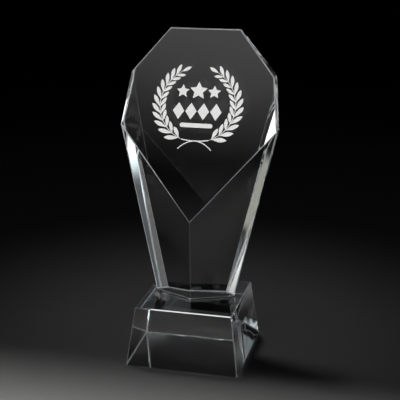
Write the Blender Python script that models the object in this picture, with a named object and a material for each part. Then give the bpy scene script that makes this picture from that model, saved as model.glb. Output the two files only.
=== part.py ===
"""Crystal award: a tall faceted optical-crystal body, cemented upright on a truncated-pyramid crystal base.

Metres, +Z up. The origin is the centre of the base's underside and -Y is the front. The body is cut from
one block by flat planes. A laurel round stars and diamonds is engraved in its leaning front face and filled
with white enamel.
"""

from math import cos, pi, radians, sin

import bmesh
import bpy
from mathutils import Matrix, Vector

# Clearance kept between pieces that touch.
GAP = 0.0003

# Base: a truncated pyramid with polished chamfers.
BASE_HEIGHT = 0.042
BASE_BOTTOM_SIDE = 0.0794
BASE_TOP_SIDE = 0.0680
BASE_CHAMFER = 0.0006

# Cement film between the base and the body.
FILM_THICKNESS = 0.0002
FILM_INSET = 0.0004

# Body outline, as half widths at the heights where the outline turns.
BODY_BOTTOM = BASE_HEIGHT + FILM_THICKNESS + 2 * GAP
FOOT_HALF_WIDTH = 0.0281
WIDEST_HEIGHT = 0.1613
WIDEST_HALF_WIDTH = 0.0552
SHOULDER_HEIGHT = 0.1966
SHOULDER_HALF_WIDTH = 0.0504
TOP_HEIGHT = 0.2264
TOP_HALF_WIDTH = 0.0249
BODY_CHAMFER = 0.0007

# Front face: leans back by FRONT_LEAN, a run over a rise, and passes FRONT_AT_WIDEST at the widest height.
FRONT_LEAN = 0.36
FRONT_AT_WIDEST = 0.0073

# Lower front facets: they meet in a ridge that rises to the apex, the lowest point of the front face.
APEX_HEIGHT = 0.1002
FOOT_CORNER_Y = 0.0006

# Back face, with its own smaller lean. On each side a bevel facet cuts its corner off: their shared edge
# climbs from the foot's back corner to the side wall just under the shoulder.
BACK_AT_FOOT = 0.0138
BACK_LEAN = 0.108
BACK_EDGE_FOOT_X = 0.0181
BACK_EDGE_TOP_X = 0.0508
BACK_EDGE_TOP_HEIGHT = 0.1870
WIDEST_WALL = 0.0095

# Engraved motif, in the front face's own plane: X across, Y up the slope, from its centre.
MOTIF_X = -0.0011
MOTIF_HEIGHT = 0.1758
SPRIG_RADIUS = 0.0267
SPRIG_LOW_RADIUS = 0.0250
SPRIG_START = radians(-67)
SPRIG_FIRST_LEAF = radians(-64)
SPRIG_END = radians(61)
SPRIG_LEAF_PAIRS = 11
SPRIG_TAPER = 0.26
STEM_HALF_WIDTH = 0.0002
OUTER_LEAF = (0.0092, 0.00135, radians(27))
INNER_LEAF = (0.0074, 0.00115, radians(36))
LEAF_STEPS = 6
STARS = {
    "star_middle": (0.0, 0.0104, 0.0064),
    "star_left": (-0.0111, 0.0098, 0.0047),
    "star_right": (0.0111, 0.0098, 0.0047),
}
STAR_INNER_RATIO = 0.5
DIAMONDS = {
    "diamond_outer_left": -0.0132,
    "diamond_inner_left": -0.0044,
    "diamond_inner_right": 0.0044,
    "diamond_outer_right": 0.0132,
}
DIAMOND_Y = -0.0038
DIAMOND_HALF_WIDTH = 0.0040
DIAMOND_HALF_HEIGHT = 0.0058
BAR_Y = -0.0136
BAR_HALF_LENGTH = 0.0115
BAR_HALF_WIDTH = 0.0015
CROSSING_Y = -0.0243
CROSSING_HALF_WIDTH = 0.00035
CROSSING_NOTCH_X = 0.0042
UPPER_ARM = (0.0098, 0.0009)
LOWER_ARM = (0.0118, -0.0058)
POCKET_DEPTH = 0.0008


def clear_scene():
    for obj in list(bpy.data.objects):
        bpy.data.objects.remove(obj, do_unlink=True)


def make_material(name, colour, roughness, transmission=0.0):
    material = bpy.data.materials.new(name)
    material.use_nodes = True
    material.diffuse_color = (*colour, 1.0)
    shader = material.node_tree.nodes["Principled BSDF"]
    shader.inputs["Base Color"].default_value = (*colour, 1.0)
    shader.inputs["Roughness"].default_value = roughness
    shader.inputs["Metallic"].default_value = 0.0
    shader.inputs["IOR"].default_value = 1.52
    shader.inputs["Transmission Weight"].default_value = transmission
    return material


def make_object(name, bm, material=None, parent=None):
    bmesh.ops.recalc_face_normals(bm, faces=bm.faces)
    mesh = bpy.data.meshes.new(name)
    bm.to_mesh(mesh)
    bm.free()
    obj = bpy.data.objects.new(name, mesh)
    bpy.context.scene.collection.objects.link(obj)
    if material:
        mesh.materials.append(material)
    obj.parent = parent
    return obj


def front_y(height):
    """The front face's y at this height."""
    return FRONT_AT_WIDEST + FRONT_LEAN * (height - WIDEST_HEIGHT)


def back_y(height):
    """The back face's y at this height."""
    return BACK_AT_FOOT + BACK_LEAN * (height - BASE_HEIGHT)


def plane_through(first, second, third, inside):
    """(point, normal) of the plane through three points, its normal pointing away from the inside point."""
    normal = (second - first).cross(third - first).normalized()
    if normal.dot(inside - first) > 0:
        normal.negate()
    return first, normal


def outline_points(side):
    """The front outline's corners on one side, -1 or 1, from the foot up to the top."""
    return [
        Vector((side * FOOT_HALF_WIDTH, FOOT_CORNER_Y, BASE_HEIGHT)),
        Vector((side * WIDEST_HALF_WIDTH, front_y(WIDEST_HEIGHT), WIDEST_HEIGHT)),
        Vector((side * SHOULDER_HALF_WIDTH, front_y(SHOULDER_HEIGHT), SHOULDER_HEIGHT)),
        Vector((side * TOP_HALF_WIDTH, front_y(TOP_HEIGHT), TOP_HEIGHT)),
    ]


def side_planes(side, inside):
    """The walls, the lower front facet and the back bevel facet on one side."""
    foot, widest, shoulder, top = outline_points(side)
    apex = Vector((0, front_y(APEX_HEIGHT), APEX_HEIGHT))
    depth = Vector((0, 1, 0))
    planes = [
        plane_through(low, high, low + depth, inside)
        for low, high in ((foot, widest), (widest, shoulder), (shoulder, top))
    ]
    planes.append(plane_through(apex, widest, foot, inside))
    edge_foot = Vector((side * BACK_EDGE_FOOT_X, back_y(BASE_HEIGHT), BASE_HEIGHT))
    edge_top = Vector((side * BACK_EDGE_TOP_X, back_y(BACK_EDGE_TOP_HEIGHT), BACK_EDGE_TOP_HEIGHT))
    planes.append(plane_through(edge_foot, edge_top, widest + depth * WIDEST_WALL, inside))
    return planes


def body_planes():
    inside = Vector((0, front_y(WIDEST_HEIGHT) + WIDEST_WALL, WIDEST_HEIGHT))
    planes = [
        (Vector((0, 0, BODY_BOTTOM)), Vector((0, 0, -1))),
        (Vector((0, 0, TOP_HEIGHT)), Vector((0, 0, 1))),
        (Vector((0, front_y(TOP_HEIGHT), TOP_HEIGHT)), Vector((0, -1, FRONT_LEAN)).normalized()),
        (Vector((0, back_y(BASE_HEIGHT), BASE_HEIGHT)), Vector((0, 1, -BACK_LEAN)).normalized()),
    ]
    for side in (-1, 1):
        planes += side_planes(side, inside)
    return planes


def cut_convex(planes, block_side):
    """A block of this side, cut by each plane in turn. Each cut is closed by one flat face."""
    bm = bmesh.new()
    bmesh.ops.create_cube(bm, size=block_side)
    for point, normal in planes:
        everything = bm.verts[:] + bm.edges[:] + bm.faces[:]
        bmesh.ops.bisect_plane(
            bm, geom=everything, dist=1e-7, plane_co=point, plane_no=normal, clear_outer=True
        )
        rim = [edge for edge in bm.edges if edge.is_boundary]
        if rim:
            bmesh.ops.contextual_create(bm, geom=rim)
    bmesh.ops.recalc_face_normals(bm, faces=bm.faces)
    return bm


def is_wall(face):
    return abs(face.normal.y) < 0.02


def make_body(material):
    bm = cut_convex(body_planes(), 1.0)
    outline = [
        edge
        for edge in bm.edges
        if is_wall(edge.link_faces[0]) != is_wall(edge.link_faces[1])
    ]
    bmesh.ops.bevel(bm, geom=outline, offset=BODY_CHAMFER, segments=1, affect="EDGES", profile=0.5)
    return make_object("crystal_body", bm, material)


def make_base(material):
    bm = bmesh.new()
    bmesh.ops.create_cone(
        bm,
        cap_ends=True,
        segments=4,
        radius1=BASE_BOTTOM_SIDE / 2**0.5,
        radius2=BASE_TOP_SIDE / 2**0.5,
        depth=BASE_HEIGHT,
        matrix=Matrix.Translation((0, 0, BASE_HEIGHT / 2)) @ Matrix.Rotation(radians(45), 4, "Z"),
    )
    bmesh.ops.bevel(bm, geom=bm.edges[:], offset=BASE_CHAMFER, segments=1, affect="EDGES", profile=0.5)
    return make_object("crystal_base", bm, material)


def make_film(material):
    """The cement film: the body's foot outline, pulled in a little."""
    bm = cut_convex(body_planes(), 1.0)
    foot = [vert.co.copy() for vert in bm.verts if abs(vert.co.z - BODY_BOTTOM) < 1e-6]
    bm.free()
    centre = sum(foot, Vector()) / len(foot)
    foot = [point + (centre - point).normalized() * FILM_INSET * 2 for point in foot]
    bottom = BASE_HEIGHT + GAP
    film = bmesh.new()
    for point in foot:
        for height in (bottom, bottom + FILM_THICKNESS):
            film.verts.new((point.x, point.y, height))
    bmesh.ops.convex_hull(film, input=film.verts[:])
    return make_object("cement_film", film, material)


def leaf_outline(root, direction, length, half_width):
    """Points of one pointed leaf, from its narrow neck round the tip and back to the neck."""
    across = Vector((-direction.y, direction.x))
    right, left = [], []
    for step in range(LEAF_STEPS):
        share = (step + 0.35) / (LEAF_STEPS + 0.35)
        along = root + direction * length * share
        width = half_width * sin(pi * share**1.25) ** 0.8
        right.append(along - across * width)
        left.append(along + across * width)
    return right + [root + direction * length] + left[::-1]


def on_sprig(angle, offset=0.0):
    """The point at this angle on the stem's line, which is a little flatter under the motif's centre."""
    height = SPRIG_LOW_RADIUS if sin(angle) < 0 else SPRIG_RADIUS
    return Vector(((SPRIG_RADIUS + offset) * cos(angle), (height + offset) * sin(angle)))


def sprig_leaf(angle, side):
    """The leaf on the stem's outer side, 1, or its inner side, -1, smaller towards the stem's end."""
    length, half_width, splay = OUTER_LEAF if side == 1 else INNER_LEAF
    share = (angle - SPRIG_FIRST_LEAF) / (SPRIG_END - SPRIG_FIRST_LEAF)
    size = 1 + SPRIG_TAPER * (0.5 - share)
    outward = Vector((cos(angle), sin(angle)))
    tangent = Vector((-outward.y, outward.x))
    direction = tangent * cos(splay) + outward * side * sin(splay)
    root = on_sprig(angle, side * STEM_HALF_WIDTH)
    return leaf_outline(root, direction, length * size, half_width * size)


def end_leaf():
    length, half_width, _ = INNER_LEAF
    tangent = Vector((-sin(SPRIG_END), cos(SPRIG_END)))
    return leaf_outline(on_sprig(SPRIG_END), tangent, length, half_width)


def leaf_angles():
    """Where the leaf pairs leave the stem, closer together towards its end."""
    shares = [index / SPRIG_LEAF_PAIRS for index in range(SPRIG_LEAF_PAIRS)]
    taper = SPRIG_TAPER / 2
    return [SPRIG_FIRST_LEAF + (SPRIG_END - SPRIG_FIRST_LEAF) * (s + taper * s * (1 - s)) for s in shares]


def stem_side(side):
    """One edge of the bare stem, from its start to its end."""
    steps = 18
    angles = [SPRIG_START + (SPRIG_END - SPRIG_START) * step / steps for step in range(steps + 1)]
    return [on_sprig(angle, side * STEM_HALF_WIDTH) for angle in angles]


def sprig_outline():
    """One closed outline of the right-hand sprig: up the stem's outer edge with its leaves, round the end
    leaf, and down the inner edge."""
    neck = STEM_HALF_WIDTH / SPRIG_RADIUS
    outer = [on_sprig(SPRIG_START, STEM_HALF_WIDTH)]
    inner = [on_sprig(SPRIG_START, -STEM_HALF_WIDTH)]
    for angle in leaf_angles():
        outer += [on_sprig(angle - neck, STEM_HALF_WIDTH), *sprig_leaf(angle, 1)]
        outer.append(on_sprig(angle + neck, STEM_HALF_WIDTH))
        inner += [on_sprig(angle - neck, -STEM_HALF_WIDTH), *sprig_leaf(angle, -1)[::-1]]
        inner.append(on_sprig(angle + neck, -STEM_HALF_WIDTH))
    return outer + end_leaf() + inner[::-1]


def star_outline(x, y, radius):
    points = []
    for index in range(10):
        angle = pi / 2 + pi * index / 5
        reach = radius * (STAR_INNER_RATIO if index % 2 else 1)
        points.append(Vector((x + reach * cos(angle), y + reach * sin(angle))))
    return points


def diamond_outline(x):
    return [
        Vector((x + DIAMOND_HALF_WIDTH, DIAMOND_Y)),
        Vector((x, DIAMOND_Y + DIAMOND_HALF_HEIGHT)),
        Vector((x - DIAMOND_HALF_WIDTH, DIAMOND_Y)),
        Vector((x, DIAMOND_Y - DIAMOND_HALF_HEIGHT)),
    ]


def bar_outline():
    """A bar with chamfered ends."""
    slope = BAR_HALF_WIDTH * 0.6
    corner = [(BAR_HALF_LENGTH, BAR_HALF_WIDTH - slope), (BAR_HALF_LENGTH - slope, BAR_HALF_WIDTH)]
    right = [(a, -b) for a, b in corner[::-1]] + corner
    left = [(-a, -b) for a, b in right]
    return [Vector((a, BAR_Y + b)) for a, b in right + left]


def arm_edge(arm, side, start=0.0):
    """One edge of a stem's arm beside the crossing, from this X out to the arm's end."""
    reach, rise = arm
    steps = 6
    xs = [start + (reach - start) * step / steps for step in range(steps + 1)]
    y = CROSSING_Y + side * CROSSING_HALF_WIDTH
    return [Vector((x, y + rise * (x / reach) ** 2)) for x in xs]


def crossing_outline():
    """The crossed ends of the stems: two arms reach up to the sprigs and two fall away."""
    right = arm_edge(LOWER_ARM, -1) + arm_edge(LOWER_ARM, 1, CROSSING_NOTCH_X)[::-1]
    right += arm_edge(UPPER_ARM, -1, CROSSING_NOTCH_X)[1:] + arm_edge(UPPER_ARM, 1)[::-1]
    return right + mirrored(right[1:-1])


def mirrored(outline):
    return [Vector((-point.x, point.y)) for point in outline[::-1]]


def grown(outline, distance):
    """The outline, counter-clockwise, moved outwards by this distance, with long corners cut back."""
    points = []
    for index, point in enumerate(outline):
        before = (point - outline[index - 1]).normalized()
        after = (outline[(index + 1) % len(outline)] - point).normalized()
        normals = Vector((before.y, -before.x)), Vector((after.y, -after.x))
        middle = (normals[0] + normals[1]).normalized()
        points.append(point + middle * distance / max(middle.dot(normals[0]), 0.5))
    return points


def make_plate(name, outline, bottom, top, material, frame):
    """A flat plate of this outline in the motif's frame, between two heights over the front face."""
    bm = bmesh.new()
    face = bm.faces.new([bm.verts.new((point.x, point.y, bottom)) for point in outline])
    lifted = bmesh.ops.extrude_face_region(bm, geom=[face])["geom"]
    verts = [item for item in lifted if isinstance(item, bmesh.types.BMVert)]
    bmesh.ops.translate(bm, vec=(0, 0, top - bottom), verts=verts)
    return make_object(name, bm, material, frame)


def make_motif_frame():
    """An empty at the motif's centre, its Z along the front face's outward normal."""
    up = Vector((0, FRONT_LEAN, 1)).normalized()
    across = Vector((1, 0, 0))
    frame = bpy.data.objects.new("motif_frame", None)
    bpy.context.scene.collection.objects.link(frame)
    frame.rotation_euler = Matrix((across, up, across.cross(up))).transposed().to_euler()
    frame.location = (MOTIF_X, front_y(MOTIF_HEIGHT), MOTIF_HEIGHT)
    return frame


def motif_outlines():
    """{name: outline} of every enamel piece."""
    right = sprig_outline()
    outlines = {"laurel_right": right, "laurel_left": mirrored(right)}
    outlines["laurel_crossing"] = crossing_outline()
    outlines |= {name: star_outline(*place) for name, place in STARS.items()}
    outlines |= {name: diamond_outline(x) for name, x in DIAMONDS.items()}
    return outlines | {"bar": bar_outline()}


def arm_band(arm):
    """The whole of one stem's arm and its mirror image, as one band."""
    band = arm_edge(arm, -1)[1:] + arm_edge(arm, 1)[::-1]
    return band[:-1] + mirrored(band[:-1])


def pocket_outlines():
    """Overlapping outlines that cover the motif: leaves, stems and arms one by one, then single marks."""
    shapes = [stem_side(1) + stem_side(-1)[::-1], end_leaf()]
    for angle in leaf_angles():
        shapes += [sprig_leaf(angle, 1), sprig_leaf(angle, -1)]
    shapes += [mirrored(shape) for shape in shapes]
    shapes += [arm_band(UPPER_ARM), arm_band(LOWER_ARM)]
    marks = motif_outlines()
    shapes += [marks[name] for name in marks if not name.startswith("laurel")]
    return [grown(shape, GAP) for shape in shapes]


def engrave(body, frame):
    """Cuts the motif's pockets into the body's front face."""
    cutters = bpy.data.collections.new("pocket_cutters")
    bpy.context.scene.collection.children.link(cutters)
    for index, outline in enumerate(pocket_outlines()):
        cutter = make_plate(f"pocket_cutter_{index}", outline, -POCKET_DEPTH, 0.002, None, frame)
        cutters.objects.link(cutter)
        cutter.hide_render = True
        cutter.display_type = "WIRE"
    cut = body.modifiers.new("pockets", "BOOLEAN")
    cut.operation = "DIFFERENCE"
    cut.operand_type = "COLLECTION"
    cut.collection = cutters
    cut.solver = "EXACT"


def main():
    clear_scene()
    crystal = make_material("crystal", (0.93, 0.95, 0.95), 0.0, transmission=1.0)
    cement = make_material("cement", (0.90, 0.92, 0.92), 0.1, transmission=0.9)
    enamel = make_material("white_enamel", (0.82, 0.82, 0.82), 0.6)
    make_base(crystal)
    make_film(cement)
    body = make_body(crystal)
    frame = make_motif_frame()
    for name, outline in motif_outlines().items():
        make_plate(f"enamel_{name}", outline, GAP - POCKET_DEPTH, 0.0, enamel, frame)
    engrave(body, frame)


main()
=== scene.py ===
"""Looks of the crystal award: a faceted crystal body cemented to a crystal base, with a white enamel motif.

Metres, +Z up, -Y towards the engraved front, as in the CAD frame.
"""

from math import cos, pi, radians, sin
from typing import NamedTuple

import bmesh
import bpy
from mathutils import Matrix, Vector


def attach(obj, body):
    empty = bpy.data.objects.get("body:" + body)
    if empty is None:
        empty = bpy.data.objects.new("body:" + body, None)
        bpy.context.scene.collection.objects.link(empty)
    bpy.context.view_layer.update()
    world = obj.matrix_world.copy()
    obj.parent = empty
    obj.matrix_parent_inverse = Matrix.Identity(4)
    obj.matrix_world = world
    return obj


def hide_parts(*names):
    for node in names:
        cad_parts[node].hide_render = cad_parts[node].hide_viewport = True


# Heights and outline of the body.
BODY_BOTTOM = 0.0428
FOOT_HALF_WIDTH = 0.0281
WIDEST_HEIGHT = 0.1613
WIDEST_HALF_WIDTH = 0.0552
SHOULDER_HEIGHT = 0.1966
SHOULDER_HALF_WIDTH = 0.0504
TOP_HEIGHT = 0.2264
TOP_HALF_WIDTH = 0.0249
BODY_BLOCK_SIDE = 1.0

# Front face, lower front facets and back facets.
FRONT_LEAN = 0.36
FRONT_AT_WIDEST = 0.0073
APEX_HEIGHT = 0.1002
FOOT_CORNER_Y = 0.0006
BACK_AT_FOOT = 0.0138
BACK_LEAN = 0.108
BACK_EDGE_FOOT_X = 0.0181
BACK_EDGE_TOP_X = 0.0508
BACK_EDGE_TOP_HEIGHT = 0.1870
WIDEST_WALL = 0.0095

# Chamfers of the body: its outline, the ridges between its broad faces, and the keel under the front face.
BODY_CHAMFER = 0.0007
RIDGE_CHAMFER = 0.00012
KEEL_CHAMFER = 0.00004

# Base, and how far the cement stays inside the body's foot.
BASE_HEIGHT = 0.042
BASE_BOTTOM_SIDE = 0.0794
BASE_TOP_SIDE = 0.0680
BASE_CHAMFER = 0.0006
FILM_INSET = 0.0004

# Engraved motif, in the front face's own plane: X across, Y up the slope, from its centre.
MOTIF_X = -0.0011
MOTIF_HEIGHT = 0.1758
SPRIG_RADIUS = 0.0267
SPRIG_LOW_RADIUS = 0.0250
SPRIG_START = radians(-67)
SPRIG_FIRST_LEAF = radians(-64)
SPRIG_END = radians(61)
SPRIG_LEAF_PAIRS = 11
SPRIG_TAPER = 0.26
STEM_HALF_WIDTH = 0.0002

# Leaves: length, half width and splay from the stem.
OUTER_LEAF = (0.0092, 0.00135, radians(27))
INNER_LEAF = (0.0074, 0.00115, radians(36))
LEAF_STEPS = 8
LEAF_NECK_STEP = 0.35
LEAF_WIDEST_SHIFT = 1.25
LEAF_FULLNESS = 0.8

# Stars: X, Y and radius.
STARS = {
    "star_middle": (0.0, 0.0104, 0.0064),
    "star_left": (-0.0111, 0.0098, 0.0047),
    "star_right": (0.0111, 0.0098, 0.0047),
}
STAR_POINTS = 5
STAR_INNER_RATIO = 0.5

# Diamonds: X of each one's centre.
DIAMONDS = {
    "diamond_outer_left": -0.0132,
    "diamond_inner_left": -0.0044,
    "diamond_inner_right": 0.0044,
    "diamond_outer_right": 0.0132,
}
DIAMOND_Y = -0.0038
DIAMOND_HALF_WIDTH = 0.0040
DIAMOND_HALF_HEIGHT = 0.0058

BAR_Y = -0.0136
BAR_HALF_LENGTH = 0.0115
BAR_HALF_WIDTH = 0.0015
BAR_CORNER_SHARE = 0.6

# Crossed stem ends: each arm's reach and rise from the crossing.
CROSSING_Y = -0.0243
CROSSING_HALF_WIDTH = 0.00035
CROSSING_NOTCH_X = 0.0042
UPPER_ARM = (0.0098, 0.0009)
LOWER_ARM = (0.0118, -0.0058)
ARM_STEPS = 6

ENAMEL_DEPTH = 0.0005
ENAMEL_PROUD = 0.00003

# Tolerances of the mesh code: two in metres, then two limits on a part of a face's normal.
CUT_TOLERANCE = 1e-7
ON_CENTRE_PLANE = 1e-6
NO_LEAN = 0.02
LEVEL = 0.999

# Material slots of a crystal piece after the polished glass itself.
CONTACT_SLOT = 1
EDGE_SLOT = 2

# Crystal, its ground edges and the cemented contact. A pair of colours is a noise pattern's low and high end.
CRYSTAL_IOR = 1.52
CRYSTAL_TINTS = ((0.975, 0.99, 0.985), (0.99, 1.0, 0.995))
CRYSTAL_TINT_SCALE = 25.0
POLISH_WAVE = 0.00006
POLISH_WAVE_SCALE = 30.0
HAZE_COLOUR = (0.85, 0.89, 0.92, 1.0)
HAZE_SCALE = 220.0
BODY_EDGE_HAZE = (0.25, 0.55)
BASE_EDGE_HAZE = (0.10, 0.24)
CONTACT_TINTS = ((0.95, 0.97, 0.96), (0.99, 1.0, 0.99))
CONTACT_TINT_SCALE = 150.0

# Enamel.
ENAMEL_WHITES = ((0.74, 0.74, 0.73), (0.86, 0.86, 0.85))
ENAMEL_MOTTLE_SCALE = 900.0
ENAMEL_GRAIN = 0.00002
ENAMEL_GRAIN_SCALE = 6000.0
ENAMEL_ROUGHNESS = 0.6

# Floor.
FLOOR_HALF_SIDE = 6.0
FLOOR_DROP = 0.0004
FLOOR_WHITES = ((0.78, 0.78, 0.77), (0.82, 0.82, 0.81))
FLOOR_MOTTLE_SCALE = 8.0
FLOOR_ROUGHNESS = 0.9

# Camera: its turn to the right of the award's front and its pitch, then its distance from the origin and its
# shift along its own right and up.
CAMERA_TURN = radians(14.05)
CAMERA_PITCH = radians(16.79)
CAMERA_DISTANCE = 0.7253
CAMERA_RIGHT = 0.00365
CAMERA_UP = 0.10727
CAMERA_LENS = 90.0
CAMERA_SENSOR = 36.0


class Card(NamedTuple):
    """A soft-edged light card of the surround, with angles in degrees as seen from the award.

    Azimuth 0 is behind the award (+Y) and 90 on its left (-X).
    """

    azimuth: float
    elevation: float
    half_width: float
    half_height: float
    softness: float
    strength: float
    colour: tuple


WHITE = (1.0, 1.0, 1.0)
COOL = (0.82, 0.94, 1.0)
WARM = (1.0, 1.0, 0.88)
CARDS = {
    "front_softbox": Card(165, 31, 14, 4, 9, 1.3, WHITE),
    "front_low": Card(179, 17.5, 6, 5.5, 3, 2.0, WHITE),
    "front_glint": Card(160, 39.8, 5, 0.3, 0.4, 0.9, COOL),
    "right_upper": Card(-100, 36, 16, 11.3, 2.4, 1.5, COOL),
    "right_lower": Card(-94, 12.5, 12, 2, 1.5, 1.4, COOL),
    "right_fill": Card(-100, 18, 20, 8, 4, 0.09, COOL),
    "left_strip": Card(104, 17.6, 24, 2.3, 0.8, 0.30, WARM),
    "left_fill": Card(104, 12.0, 24, 2.6, 1.0, 0.12, COOL),
    "left_high": Card(76, 27, 6, 4, 3, 0.30, COOL),
    "back_top": Card(20, 47, 22, 6, 4, 1.0, WHITE),
    "back_low": Card(14, 21.5, 16, 2.5, 2, 0.18, COOL),
    "back_slit": Card(4, 26, 6, 4, 3, 0.22, COOL),
    "high_front": Card(179, 43, 6, 5, 3, 0.12, WHITE),
    "overhead": Card(48, 74, 50, 8, 5, 2.0, WHITE),
    "right_high": Card(-85, 58, 20, 6, 4, 2.0, COOL),
}
SURROUND = 0.006


class Spot(NamedTuple):
    """A soft spotlight: watts, cone in degrees, the share of the cone that fades, and the lamp's radius."""

    place: tuple
    target: tuple
    power: float
    cone: float
    blend: float
    radius: float


FLOOR_SPOTS = {
    "floor_fill": Spot((-0.30, 0.30, 1.20), (0.0, 0.03, 0.0), 1.7, 22, 1.0, 0.10),
    "room_glow": Spot((0.0, -0.5, 2.50), (0.0, 0.0, 0.0), 0.8, 40, 1.0, 0.30),
}
BODY_MIDDLE = (0.0, 0.014, 0.13)
KEY_SPOTS = {
    "front_key": Spot((0.35, -0.90, 0.75), BODY_MIDDLE, 49.0, 20, 0.5, 0.04),
    "back_key": Spot((-0.50, 0.90, 0.75), BODY_MIDDLE, 14.0, 20, 0.5, 0.04),
    "right_key": Spot((1.05, 0.35, 0.22), (0.0, 0.014, 0.10), 45.0, 22, 0.5, 0.04),
}

# Strip light over the floor in front of the award.
STRIP_PLACE = (0.0, -0.21, 0.35)
STRIP_TARGET = (0.0, -0.21, 0.0)
STRIP_LENGTH = 1.6
STRIP_WIDTH = 0.02
STRIP_POWER = 0.48
STRIP_SPREAD = radians(56)

# Light paths: many bounces through the crystal, few on the floor and the enamel.
CRYSTAL_BOUNCES = 32
GLOSSY_BOUNCES = 16
DIFFUSE_BOUNCES = 3


def new_object(name, bm, *materials):
    mesh = bpy.data.meshes.new(name)
    bm.to_mesh(mesh)
    bm.free()
    obj = bpy.data.objects.new(name, mesh)
    bpy.context.scene.collection.objects.link(obj)
    for material in materials:
        mesh.materials.append(material)
    return obj


def chamfer(bm, edges, offset):
    """Cuts a flat chamfer along these edges and gives it the ground-edge material."""
    cut = bmesh.ops.bevel(bm, geom=edges, offset=offset, segments=1, affect="EDGES", profile=0.5)
    for face in cut["faces"]:
        face.material_index = EDGE_SLOT


def front_y(height):
    return FRONT_AT_WIDEST + FRONT_LEAN * (height - WIDEST_HEIGHT)


def back_y(height):
    return BACK_AT_FOOT + BACK_LEAN * (height - BASE_HEIGHT)


def plane_through(first, second, third, inside):
    """(point, normal) of the plane through three points, its normal pointing away from the inside point."""
    normal = (second - first).cross(third - first).normalized()
    if normal.dot(inside - first) > 0:
        normal.negate()
    return first, normal


def side_planes(side, inside):
    """The walls, lower front facet and back bevel facet of the left side, -1, or the right side, 1."""
    foot = Vector((side * FOOT_HALF_WIDTH, FOOT_CORNER_Y, BASE_HEIGHT))
    widest = Vector((side * WIDEST_HALF_WIDTH, front_y(WIDEST_HEIGHT), WIDEST_HEIGHT))
    shoulder = Vector((side * SHOULDER_HALF_WIDTH, front_y(SHOULDER_HEIGHT), SHOULDER_HEIGHT))
    top = Vector((side * TOP_HALF_WIDTH, front_y(TOP_HEIGHT), TOP_HEIGHT))
    apex = Vector((0, front_y(APEX_HEIGHT), APEX_HEIGHT))
    edge_foot = Vector((side * BACK_EDGE_FOOT_X, back_y(BASE_HEIGHT), BASE_HEIGHT))
    edge_top = Vector((side * BACK_EDGE_TOP_X, back_y(BACK_EDGE_TOP_HEIGHT), BACK_EDGE_TOP_HEIGHT))
    depth = Vector((0, 1, 0))
    planes = [
        plane_through(low, high, low + depth, inside)
        for low, high in ((foot, widest), (widest, shoulder), (shoulder, top))
    ]
    planes.append(plane_through(apex, widest, foot, inside))
    planes.append(plane_through(edge_foot, edge_top, widest + depth * WIDEST_WALL, inside))
    return planes


def body_planes():
    """(point, normal) of all 14 faces of the body."""
    inside = Vector((0, front_y(WIDEST_HEIGHT) + WIDEST_WALL, WIDEST_HEIGHT))
    planes = [
        (Vector((0, 0, BODY_BOTTOM)), Vector((0, 0, -1))),
        (Vector((0, 0, TOP_HEIGHT)), Vector((0, 0, 1))),
        (Vector((0, front_y(TOP_HEIGHT), TOP_HEIGHT)), Vector((0, -1, FRONT_LEAN)).normalized()),
        (Vector((0, back_y(BASE_HEIGHT), BASE_HEIGHT)), Vector((0, 1, -BACK_LEAN)).normalized()),
    ]
    for side in (-1, 1):
        planes += side_planes(side, inside)
    return planes


def cut_convex(planes, block_side):
    """A block round the origin, cut down to what lies behind every plane."""
    bm = bmesh.new()
    bmesh.ops.create_cube(bm, size=block_side)
    for point, normal in planes:
        everything = bm.verts[:] + bm.edges[:] + bm.faces[:]
        bmesh.ops.bisect_plane(
            bm, geom=everything, dist=CUT_TOLERANCE, plane_co=point, plane_no=normal, clear_outer=True
        )
        rim = [edge for edge in bm.edges if edge.is_boundary]
        if rim:
            bmesh.ops.contextual_create(bm, geom=rim)
    bmesh.ops.recalc_face_normals(bm, faces=bm.faces)
    return bm


def is_wall(face):
    """Whether a face runs straight back: the side walls, the foot and the top."""
    return abs(face.normal.y) < NO_LEAN


def ridge_edges(bm, keel):
    """The edges between broad faces: the upright keel under the front face's point, or all the others."""
    found = []
    for edge in bm.edges:
        if any(is_wall(face) or face.material_index == EDGE_SLOT for face in edge.link_faces):
            continue
        on_keel = all(abs(vert.co.x) < ON_CENTRE_PLANE for vert in edge.verts)
        if on_keel == keel:
            found.append(edge)
    return found


def make_body(glass, contact, edge):
    """The body, and the outline of the contact patch on its foot."""
    bm = cut_convex(body_planes(), BODY_BLOCK_SIDE)
    chamfer(bm, ridge_edges(bm, keel=False), RIDGE_CHAMFER)
    chamfer(bm, ridge_edges(bm, keel=True), KEEL_CHAMFER)
    outline = [edge for edge in bm.edges if is_wall(edge.link_faces[0]) != is_wall(edge.link_faces[1])]
    chamfer(bm, outline, BODY_CHAMFER)
    foot = min(bm.faces, key=lambda face: face.normal.z)
    bmesh.ops.inset_individual(bm, faces=[foot], thickness=FILM_INSET, use_even_offset=True)
    foot.material_index = CONTACT_SLOT
    contact_outline = [vert.co.copy() for vert in foot.verts]
    return new_object("body_crystal", bm, glass, contact, edge), contact_outline


def make_film(outline, glass, contact):
    """The cured cement, filling the joint from the base's top to the body's foot."""
    bm = bmesh.new()
    bottom = [bm.verts.new((point.x, point.y, BASE_HEIGHT)) for point in outline]
    top = [bm.verts.new((point.x, point.y, BODY_BOTTOM)) for point in outline]
    count = len(outline)
    for index in range(count):
        after = (index + 1) % count
        bm.faces.new((bottom[index], bottom[after], top[after], top[index]))
    for ring in (bottom, top):
        bm.faces.new(ring).material_index = CONTACT_SLOT
    bmesh.ops.recalc_face_normals(bm, faces=bm.faces)
    return new_object("film_cement", bm, glass, contact)


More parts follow.
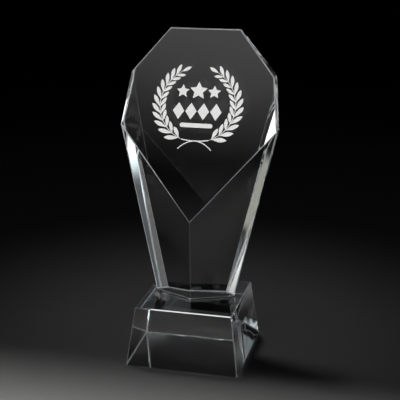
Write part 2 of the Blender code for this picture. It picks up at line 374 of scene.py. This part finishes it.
def outline_walls(outline):
    """(point, normal) of the upright plane through each edge of a convex outline, facing outwards."""
    centre = sum(outline, Vector()) / len(outline)
    walls = []
    for index, point in enumerate(outline):
        along = outline[(index + 1) % len(outline)] - point
        normal = Vector((along.y, -along.x, 0)).normalized()
        if normal.dot(centre - point) > 0:
            normal.negate()
        walls.append((point, normal))
    return walls


def mark_contact(bm, outline):
    """Divides the top face along the outline and gives the patch inside it the contact material."""
    walls = outline_walls(outline)
    for point, normal in walls:
        top = [face for face in bm.faces if face.normal.z > LEVEL]
        geom = set(top)
        for face in top:
            geom |= set(face.edges) | set(face.verts)
        bmesh.ops.bisect_plane(bm, geom=list(geom), dist=CUT_TOLERANCE, plane_co=point, plane_no=normal)
    for face in bm.faces:
        middle = face.calc_center_median()
        if face.normal.z > LEVEL and all(normal.dot(middle - point) < 0 for point, normal in walls):
            face.material_index = CONTACT_SLOT


def make_base(outline, glass, contact, edge):
    """The truncated pyramid, a four-sided cone whose radii are half its diagonals."""
    bm = bmesh.new()
    bmesh.ops.create_cone(
        bm,
        cap_ends=True,
        segments=4,
        radius1=BASE_BOTTOM_SIDE / 2**0.5,
        radius2=BASE_TOP_SIDE / 2**0.5,
        depth=BASE_HEIGHT,
        matrix=Matrix.Translation((0, 0, BASE_HEIGHT / 2)) @ Matrix.Rotation(pi / 4, 4, "Z"),
    )
    chamfer(bm, bm.edges[:], BASE_CHAMFER)
    mark_contact(bm, outline)
    return new_object("base_crystal", bm, glass, contact, edge)


def leaf_outline(root, direction, length, half_width):
    """Points of one pointed leaf, from its narrow neck round the tip and back to the neck."""
    across = Vector((-direction.y, direction.x))
    right, left = [], []
    for step in range(LEAF_STEPS):
        share = (step + LEAF_NECK_STEP) / (LEAF_STEPS + LEAF_NECK_STEP)
        along = root + direction * length * share
        width = half_width * sin(pi * share**LEAF_WIDEST_SHIFT) ** LEAF_FULLNESS
        right.append(along - across * width)
        left.append(along + across * width)
    return right + [root + direction * length] + left[::-1]


def on_sprig(angle, offset=0.0):
    """The point at this angle on the stem's line, which is a little flatter under the motif's centre."""
    height = SPRIG_LOW_RADIUS if sin(angle) < 0 else SPRIG_RADIUS
    return Vector(((SPRIG_RADIUS + offset) * cos(angle), (height + offset) * sin(angle)))


def sprig_leaf(angle, side):
    """The leaf on the stem's outer side, 1, or its inner side, -1, smaller towards the stem's end."""
    length, half_width, splay = OUTER_LEAF if side == 1 else INNER_LEAF
    share = (angle - SPRIG_FIRST_LEAF) / (SPRIG_END - SPRIG_FIRST_LEAF)
    size = 1 + SPRIG_TAPER * (0.5 - share)
    outward = Vector((cos(angle), sin(angle)))
    tangent = Vector((-outward.y, outward.x))
    direction = tangent * cos(splay) + outward * side * sin(splay)
    root = on_sprig(angle, side * STEM_HALF_WIDTH)
    return leaf_outline(root, direction, length * size, half_width * size)


def end_leaf():
    length, half_width, _ = INNER_LEAF
    tangent = Vector((-sin(SPRIG_END), cos(SPRIG_END)))
    return leaf_outline(on_sprig(SPRIG_END), tangent, length, half_width)


def leaf_angles():
    """Where the leaf pairs leave the stem, closer together towards its end."""
    shares = [index / SPRIG_LEAF_PAIRS for index in range(SPRIG_LEAF_PAIRS)]
    sweep = SPRIG_END - SPRIG_FIRST_LEAF
    taper = SPRIG_TAPER / 2
    return [SPRIG_FIRST_LEAF + sweep * (share + taper * share * (1 - share)) for share in shares]


def sprig_outline():
    """One closed outline of the right-hand sprig: up the stem's outer edge with its leaves, round the end
    leaf, and down the inner edge."""
    neck = STEM_HALF_WIDTH / SPRIG_RADIUS
    outer = [on_sprig(SPRIG_START, STEM_HALF_WIDTH)]
    inner = [on_sprig(SPRIG_START, -STEM_HALF_WIDTH)]
    for angle in leaf_angles():
        outer += [on_sprig(angle - neck, STEM_HALF_WIDTH), *sprig_leaf(angle, 1)]
        outer.append(on_sprig(angle + neck, STEM_HALF_WIDTH))
        inner += [on_sprig(angle - neck, -STEM_HALF_WIDTH), *sprig_leaf(angle, -1)[::-1]]
        inner.append(on_sprig(angle + neck, -STEM_HALF_WIDTH))
    return outer + end_leaf() + inner[::-1]


def star_outline(x, y, radius):
    points = []
    for index in range(2 * STAR_POINTS):
        angle = pi / 2 + pi * index / STAR_POINTS
        reach = radius * (STAR_INNER_RATIO if index % 2 else 1)
        points.append(Vector((x + reach * cos(angle), y + reach * sin(angle))))
    return points


def diamond_outline(x):
    return [
        Vector((x + DIAMOND_HALF_WIDTH, DIAMOND_Y)),
        Vector((x, DIAMOND_Y + DIAMOND_HALF_HEIGHT)),
        Vector((x - DIAMOND_HALF_WIDTH, DIAMOND_Y)),
        Vector((x, DIAMOND_Y - DIAMOND_HALF_HEIGHT)),
    ]


def bar_outline():
    """A bar with chamfered ends."""
    corner_size = BAR_HALF_WIDTH * BAR_CORNER_SHARE
    corner = [
        (BAR_HALF_LENGTH, BAR_HALF_WIDTH - corner_size),
        (BAR_HALF_LENGTH - corner_size, BAR_HALF_WIDTH),
    ]
    right = [(x, -y) for x, y in corner[::-1]] + corner
    left = [(-x, -y) for x, y in right]
    return [Vector((x, BAR_Y + y)) for x, y in right + left]


def arm_edge(arm, side, start=0.0):
    """One edge of a stem's arm beside the crossing, from this X out to the arm's end."""
    reach, rise = arm
    y = CROSSING_Y + side * CROSSING_HALF_WIDTH
    xs = [start + (reach - start) * step / ARM_STEPS for step in range(ARM_STEPS + 1)]
    return [Vector((x, y + rise * (x / reach) ** 2)) for x in xs]


def crossing_outline():
    """The crossed ends of the stems: two arms reach up to the sprigs and two fall away."""
    right = arm_edge(LOWER_ARM, -1) + arm_edge(LOWER_ARM, 1, CROSSING_NOTCH_X)[::-1]
    right += arm_edge(UPPER_ARM, -1, CROSSING_NOTCH_X)[1:] + arm_edge(UPPER_ARM, 1)[::-1]
    return right + mirrored(right[1:-1])


def mirrored(outline):
    return [Vector((-point.x, point.y)) for point in outline[::-1]]


def motif_outlines():
    """{name: outline} of every enamel piece."""
    right = sprig_outline()
    outlines = {"laurel_right": right, "laurel_left": mirrored(right)}
    outlines["laurel_crossing"] = crossing_outline()
    outlines |= {name: star_outline(*place) for name, place in STARS.items()}
    outlines |= {name: diamond_outline(x) for name, x in DIAMONDS.items()}
    return outlines | {"bar": bar_outline()}


def make_enamel(name, outline, material):
    """One flat enamel infill, set into the front face and standing a hair proud of it."""
    up = Vector((0, FRONT_LEAN, 1)).normalized()
    across = Vector((1, 0, 0))
    turn = Matrix((across, up, across.cross(up))).transposed().to_4x4()
    place = Matrix.Translation((MOTIF_X, front_y(MOTIF_HEIGHT), MOTIF_HEIGHT)) @ turn
    bm = bmesh.new()
    face = bm.faces.new([bm.verts.new((point.x, point.y, -ENAMEL_DEPTH)) for point in outline])
    lifted = bmesh.ops.extrude_face_region(bm, geom=[face])["geom"]
    verts = [item for item in lifted if isinstance(item, bmesh.types.BMVert)]
    bmesh.ops.translate(bm, vec=(0, 0, ENAMEL_DEPTH + ENAMEL_PROUD), verts=verts)
    bmesh.ops.recalc_face_normals(bm, faces=bm.faces)
    bmesh.ops.transform(bm, matrix=place, verts=bm.verts)
    return new_object(f"motif_{name}", bm, material)


def new_material(name):
    material = bpy.data.materials.new(name)
    material.use_nodes = True
    return material, material.node_tree, material.node_tree.nodes["Principled BSDF"]


def noise(tree, scale, detail=2.0):
    """A noise pattern in the object's own metres."""
    place = tree.nodes.new("ShaderNodeTexCoord")
    pattern = tree.nodes.new("ShaderNodeTexNoise")
    pattern.inputs["Scale"].default_value = scale
    pattern.inputs["Detail"].default_value = detail
    tree.links.new(place.outputs["Object"], pattern.inputs["Vector"])
    return pattern.outputs["Fac"]


def ramp(tree, value, low, high):
    """Colours from low to high over the noise's usual range, 0.3 to 0.7."""
    node = tree.nodes.new("ShaderNodeValToRGB")
    node.color_ramp.elements[0].position = 0.3
    node.color_ramp.elements[0].color = (*low, 1.0)
    node.color_ramp.elements[1].position = 0.7
    node.color_ramp.elements[1].color = (*high, 1.0)
    tree.links.new(value, node.inputs["Fac"])
    return node.outputs["Color"]


def bump(tree, value, distance, target):
    node = tree.nodes.new("ShaderNodeBump")
    node.inputs["Distance"].default_value = distance
    tree.links.new(value, node.inputs["Height"])
    tree.links.new(node.outputs["Normal"], target)


def crystal_material(name):
    """Clear optical crystal with a trace of green and the faint waviness of a hand-polished face."""
    material, tree, shader = new_material(name)
    tint = ramp(tree, noise(tree, CRYSTAL_TINT_SCALE), *CRYSTAL_TINTS)
    tree.links.new(tint, shader.inputs["Base Color"])
    bump(tree, noise(tree, POLISH_WAVE_SCALE, detail=1.0), POLISH_WAVE, shader.inputs["Normal"])
    shader.inputs["Roughness"].default_value = 0.0
    shader.inputs["IOR"].default_value = CRYSTAL_IOR
    shader.inputs["Transmission Weight"].default_value = 1.0
    return material


def edge_material(name, crystal, least, most):
    """The crystal's ground and polished edges, mostly clear, with an uneven haze that catches the light."""
    material = crystal.copy()
    material.name = name
    tree = material.node_tree
    haze = tree.nodes.new("ShaderNodeMixShader")
    for index, kind in enumerate(("ShaderNodeBsdfDiffuse", "ShaderNodeBsdfTranslucent")):
        scatter = tree.nodes.new(kind)
        scatter.inputs["Color"].default_value = HAZE_COLOUR
        tree.links.new(scatter.outputs["BSDF"], haze.inputs[index + 1])
    mix = tree.nodes.new("ShaderNodeMixShader")
    share = ramp(tree, noise(tree, HAZE_SCALE, detail=3.0), (least,) * 3, (most,) * 3)
    tree.links.new(share, mix.inputs["Fac"])
    tree.links.new(tree.nodes["Principled BSDF"].outputs["BSDF"], mix.inputs[1])
    tree.links.new(haze.outputs["Shader"], mix.inputs[2])
    tree.links.new(mix.outputs["Shader"], tree.nodes["Material Output"].inputs["Surface"])
    return material


def contact_material():
    """An index-matched joint: light passes straight on with no mirror, a little dimmed by the cement."""
    material = bpy.data.materials.new("cemented_contact")
    material.use_nodes = True
    tree = material.node_tree
    tree.nodes.clear()
    output = tree.nodes.new("ShaderNodeOutputMaterial")
    clear = tree.nodes.new("ShaderNodeBsdfTransparent")
    dimming = ramp(tree, noise(tree, CONTACT_TINT_SCALE), *CONTACT_TINTS)
    tree.links.new(dimming, clear.inputs["Color"])
    tree.links.new(clear.outputs["BSDF"], output.inputs["Surface"])
    return material


def enamel_material():
    """Matte white fill, slightly mottled and grainy."""
    material, tree, shader = new_material("white_enamel")
    colour = ramp(tree, noise(tree, ENAMEL_MOTTLE_SCALE, detail=4.0), *ENAMEL_WHITES)
    tree.links.new(colour, shader.inputs["Base Color"])
    bump(tree, noise(tree, ENAMEL_GRAIN_SCALE), ENAMEL_GRAIN, shader.inputs["Normal"])
    shader.inputs["Roughness"].default_value = ENAMEL_ROUGHNESS
    return material


def make_floor():
    bm = bmesh.new()
    bmesh.ops.create_grid(bm, x_segments=1, y_segments=1, size=FLOOR_HALF_SIDE)
    material, tree, shader = new_material("pale_floor")
    colour = ramp(tree, noise(tree, FLOOR_MOTTLE_SCALE), *FLOOR_WHITES)
    tree.links.new(colour, shader.inputs["Base Color"])
    shader.inputs["Roughness"].default_value = FLOOR_ROUGHNESS
    shader.inputs["Specular IOR Level"].default_value = 0.0
    floor = new_object("floor", bm, material)
    floor.location.z = -FLOOR_DROP


def aim(lamp, target):
    direction = Vector(target) - lamp.location
    lamp.rotation_euler = direction.to_track_quat("-Z", "Y").to_euler()


def new_lamp(name, light, place, target):
    """A lamp for floor, enamel and ground edges. The polished crystal mirrors only the studio's cards."""
    lamp = bpy.data.objects.new(name, light)
    lamp.location = place
    aim(lamp, target)
    lamp.visible_glossy = False
    lamp.visible_transmission = False
    bpy.context.scene.collection.objects.link(lamp)
    return lamp


def add_spot(name, spot):
    light = bpy.data.lights.new(name, "SPOT")
    light.energy = spot.power
    light.spot_size = radians(spot.cone)
    light.spot_blend = spot.blend
    light.shadow_soft_size = spot.radius
    return new_lamp(name, light, spot.place, spot.target)


def add_floor_strip():
    light = bpy.data.lights.new("floor_strip", "AREA")
    light.shape = "RECTANGLE"
    light.size = STRIP_LENGTH
    light.size_y = STRIP_WIDTH
    light.energy = STRIP_POWER
    light.spread = STRIP_SPREAD
    lamp = new_lamp("floor_strip", light, STRIP_PLACE, STRIP_TARGET)
    lamp.visible_camera = False


def light_only(lamp, pieces):
    """Keeps a lamp's light on these pieces, so that its beam leaves no pool on the floor behind them."""
    receivers = bpy.data.collections.new(f"{lamp.name}_receivers")
    for piece in pieces:
        receivers.objects.link(piece)
    lamp.light_linking.receiver_collection = receivers


def make_lights(pieces):
    """The floor's own lights, and the keys that light only these pieces and cast no shadow."""
    add_floor_strip()
    for name, spot in FLOOR_SPOTS.items():
        add_spot(name, spot)
    for name, spot in KEY_SPOTS.items():
        key = add_spot(name, spot)
        key.data.use_shadow = False
        light_only(key, pieces)


def math_node(tree, operation, *values):
    """The output of a Math node. Each value is a number or a socket."""
    node = tree.nodes.new("ShaderNodeMath")
    node.operation = operation
    for socket, value in zip(node.inputs, values):
        if isinstance(value, (int, float)):
            socket.default_value = value
        else:
            tree.links.new(value, socket)
    return node.outputs[0]


def card_mask(tree, azimuth, elevation, card):
    """1 on the card and 0 round it, with a soft edge between."""
    shifted = math_node(tree, "SUBTRACT", azimuth, card.azimuth)
    wrapped = math_node(tree, "WRAP", shifted, 180.0, -180.0)
    across = math_node(tree, "ABSOLUTE", wrapped)
    upward = math_node(tree, "ABSOLUTE", math_node(tree, "SUBTRACT", elevation, card.elevation))
    masks = []
    for value, half in ((across, card.half_width), (upward, card.half_height)):
        step = tree.nodes.new("ShaderNodeMapRange")
        step.interpolation_type = "SMOOTHSTEP"
        step.inputs["From Min"].default_value = half + card.softness / 2
        step.inputs["From Max"].default_value = half - card.softness / 2
        tree.links.new(value, step.inputs["Value"])
        masks.append(step.outputs["Result"])
    return math_node(tree, "MULTIPLY", *masks)


def add_card(tree, mask, card, before):
    """The surround's colour so far, a colour or a socket, with this card's light added."""
    lit = tree.nodes.new("ShaderNodeVectorMath")
    lit.operation = "MULTIPLY_ADD"
    tree.links.new(mask, lit.inputs[0])
    lit.inputs[1].default_value = [card.strength * channel for channel in card.colour]
    if isinstance(before, tuple):
        lit.inputs[2].default_value = before
    else:
        tree.links.new(before, lit.inputs[2])
    return lit.outputs[0]


def make_world():
    """A dark room with the light cards, seen only in and through the crystal."""
    world = bpy.data.worlds.new("studio")
    bpy.context.scene.world = world
    world.use_nodes = True
    world.cycles_visibility.camera = False
    world.cycles_visibility.diffuse = False
    tree = world.node_tree
    place = tree.nodes.new("ShaderNodeTexCoord")
    parts = tree.nodes.new("ShaderNodeSeparateXYZ")
    tree.links.new(place.outputs["Generated"], parts.inputs["Vector"])
    x, y, z = (parts.outputs[axis] for axis in "XYZ")
    left = math_node(tree, "MULTIPLY", x, -1.0)
    azimuth = math_node(tree, "MULTIPLY", math_node(tree, "ARCTAN2", left, y), 180 / pi)
    elevation = math_node(tree, "MULTIPLY", math_node(tree, "ARCSINE", z), 180 / pi)
    total = (SURROUND, SURROUND, SURROUND)
    for card in CARDS.values():
        total = add_card(tree, card_mask(tree, azimuth, elevation, card), card, total)
    tree.links.new(total, tree.nodes["Background"].inputs["Color"])


def make_camera():
    data = bpy.data.cameras.new("camera")
    data.lens = CAMERA_LENS
    data.sensor_width = CAMERA_SENSOR
    camera = bpy.data.objects.new("camera", data)
    bpy.context.scene.collection.objects.link(camera)
    turn, pitch = CAMERA_TURN, CAMERA_PITCH
    right = Vector((cos(turn), sin(turn), 0))
    forward = Vector((-sin(turn) * cos(pitch), cos(turn) * cos(pitch), -sin(pitch)))
    up = right.cross(forward)
    place = right * CAMERA_RIGHT + up * CAMERA_UP - forward * CAMERA_DISTANCE
    axes = Matrix((right, up, -forward)).transposed().to_4x4()
    camera.matrix_world = Matrix.Translation(place) @ axes
    bpy.context.scene.camera = camera


def set_up_scene():
    """Plain display colours, and enough bounces for light to cross the crystal, without noisy caustics."""
    scene = bpy.context.scene
    scene.view_settings.view_transform = "Standard"
    scene.cycles.caustics_refractive = False
    scene.cycles.caustics_reflective = False
    scene.cycles.max_bounces = CRYSTAL_BOUNCES
    scene.cycles.transmission_bounces = CRYSTAL_BOUNCES
    scene.cycles.transparent_max_bounces = CRYSTAL_BOUNCES
    scene.cycles.glossy_bounces = GLOSSY_BOUNCES
    scene.cycles.diffuse_bounces = DIFFUSE_BOUNCES


def join_frame(piece, node):
    """Fixes a piece to the award's one body, in place of its CAD node."""
    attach(piece, "root")
    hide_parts(node)


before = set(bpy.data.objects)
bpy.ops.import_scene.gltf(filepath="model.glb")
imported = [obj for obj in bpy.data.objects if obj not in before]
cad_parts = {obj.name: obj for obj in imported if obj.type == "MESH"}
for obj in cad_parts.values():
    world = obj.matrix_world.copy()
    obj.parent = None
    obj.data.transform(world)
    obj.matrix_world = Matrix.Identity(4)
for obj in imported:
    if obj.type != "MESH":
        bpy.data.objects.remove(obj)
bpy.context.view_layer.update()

crystal = crystal_material("optical_crystal")
contact = contact_material()
enamel = enamel_material()
body_edge = edge_material("body_edge", crystal, *BODY_EDGE_HAZE)
base_edge = edge_material("base_edge", crystal, *BASE_EDGE_HAZE)

body, contact_outline = make_body(crystal, contact, body_edge)
film = make_film(contact_outline, crystal, contact)
base = make_base(contact_outline, crystal, contact, base_edge)
join_frame(body, "crystal_body")
join_frame(film, "cement_film")
join_frame(base, "crystal_base")

motif = []
for name, outline in motif_outlines().items():
    piece = make_enamel(name, outline, enamel)
    join_frame(piece, f"enamel_{name}")
    motif.append(piece)

make_floor()
make_lights([*motif, body, base])
make_world()
make_camera()
set_up_scene()
